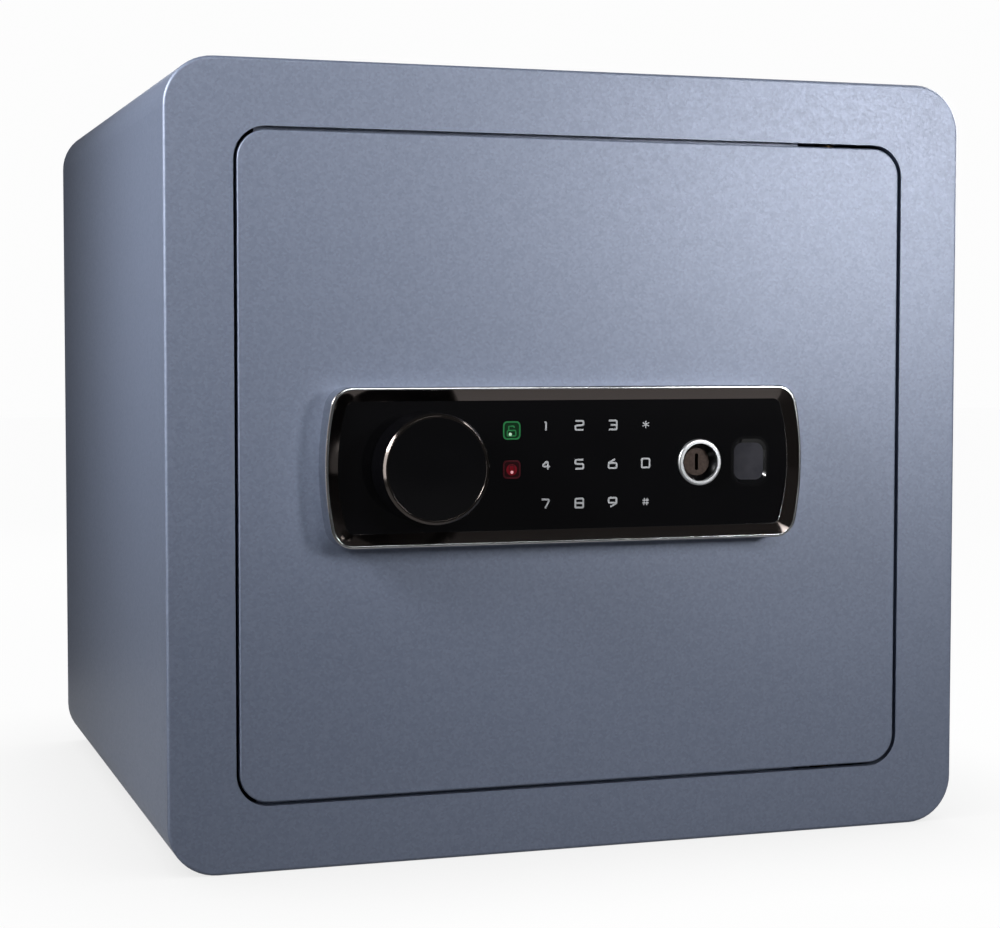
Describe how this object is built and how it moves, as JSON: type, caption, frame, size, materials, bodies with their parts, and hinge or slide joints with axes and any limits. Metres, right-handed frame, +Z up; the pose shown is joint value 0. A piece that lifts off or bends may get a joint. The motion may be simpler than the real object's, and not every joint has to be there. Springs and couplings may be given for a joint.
{
  "type": "electronic safe",
  "caption": "Steel electronic safe with a flush hinged door, a knob, a touch keypad with a fingerprint reader and an emergency key cylinder, live locking bolts, and a lift-out shelf.",
  "frame": {"origin": "middle of the cabinet's underside", "axes": "+Z up, the door faces -Y, the hinge is on the +X side"},
  "size_m": [0.38, 0.368, 0.352],
  "materials": {
    "cabinet_paint": "metallic blue-grey baked enamel with a fine speckle",
    "carpet": "grey needle felt",
    "bronze": "turned bronze",
    "steel": "turned and ground",
    "zinc_plate": "bright zinc plate",
    "bolt_steel": "chromed solid steel",
    "chrome": "mirror chrome",
    "black_chrome": "dark mirror chrome",
    "gloss_black": "polished black",
    "matt_black": "fine moulded grain",
    "rubber": "matt",
    "board_green": "solder mask",
    "copper_pads": "tinned pads",
    "status_lens": "clear diffusing lens",
    "reader_glass": "polished dark window",
    "plug_metal": "machined face",
    "cell_wrap": "printed film sleeve",
    "wire_cover": "soft sleeve",
    "red_button": "moulded"
  },
  "bodies": {
    "cabinet": {"cabinet_shell": "cabinet_paint", "front_frame": "cabinet_paint", "back_plate": "cabinet_paint", "strike_plate": "cabinet_paint", "door_stop_top": "cabinet_paint", "door_stop_bottom": "cabinet_paint", "hinge_bracket_top": "cabinet_paint", "hinge_bracket_bottom": "cabinet_paint", "thrust_washers": "bronze", "shelf_supports": "cabinet_paint", "floor_mat": "carpet"},
    "shelf": {"shelf": "cabinet_paint"},
    "door": {"door_plate": "cabinet_paint", "hinge_knuckle_top": "cabinet_paint", "hinge_knuckle_bottom": "cabinet_paint", "hinge_pins": "steel", "door_pan": "cabinet_paint", "door_back_cover": "cabinet_paint", "door_screws": "zinc_plate", "panel_bezel": "chrome", "panel_fascia": "gloss_black", "panel_housing": "matt_black", "cable_grommet": "rubber", "circuit_board": "board_green", "touch_pads": "copper_pads", "indicator_lights": "status_lens", "finger_guide": "matt_black", "fingerprint_sensor": "reader_glass", "key_ring": "chrome", "key_barrel": "matt_black", "barrel_nut": "steel", "spindle_bush": "bronze", "bolt_guide": "steel", "guide_stud": "steel", "stud_clip": "steel", "solenoid_bracket": "steel", "solenoid_body": "zinc_plate", "battery_tray": "matt_black", "batteries": "cell_wrap", "battery_contacts": "steel", "reset_switch": "matt_black", "wiring_leads": "wire_cover"},
    "knob": {"knob": "gloss_black", "knob_trim_ring": "black_chrome", "knob_cap": "gloss_black", "spindle": "steel", "spindle_spacer": "steel", "crank_disc": "steel", "crank_pin": "steel", "spindle_screw": "steel"},
    "bolts": {"bolt_carriage": "zinc_plate", "locking_bolts": "bolt_steel", "bolt_screws": "zinc_plate"},
    "plunger": {"plunger": "steel", "plunger_clip": "steel"},
    "key_plug": {"key_plug": "plug_metal", "key_cam": "steel", "cam_screw": "steel"},
    "battery_lid": {"battery_lid": "matt_black"},
    "reset_button": {"reset_button": "red_button"}
  },
  "joints": [
    {"name": "door_hinge", "type": "hinge", "parent": "cabinet", "child": "door", "pos_m": [0.1244, -0.1601, 0.176], "axis": [0, 0, 1], "range_deg": [0, 110]},
    {"name": "knob_turn", "type": "hinge", "parent": "door", "child": "knob", "pos_m": [-0.0775, -0.19, 0.176], "axis": [0, -1, 0], "range_deg": [0, 60]},
    {"name": "bolt_throw", "type": "slide", "parent": "door", "child": "bolts", "axis": [-1, 0, 0], "range_m": [0, 0.02]},
    {"name": "plunger_slide", "type": "slide", "parent": "door", "child": "plunger", "axis": [0, 0, 1], "range_m": [0, 0.0055]},
    {"name": "key_turn", "type": "hinge", "parent": "door", "child": "key_plug", "pos_m": [0.0528, -0.17, 0.176], "axis": [0, -1, 0], "range_deg": [0, 90]},
    {"name": "battery_lid_slide", "type": "slide", "parent": "door", "child": "battery_lid", "axis": [0, 0, 1], "range_m": [0, 0.06]},
    {"name": "reset_press", "type": "slide", "parent": "door", "child": "reset_button", "axis": [0, -1, 0], "range_m": [0, 0.0015], "stiffness_N_per_m": 200},
    {"name": "shelf_lift", "type": "slide", "parent": "cabinet", "child": "shelf", "axis": [0, 0, 1], "range_m": [0, 0.04]}
  ],
  "couplings": [
    {"joint": "knob_turn", "follows": "bolt_throw", "rad_per_m": 52.36}
  ]
}
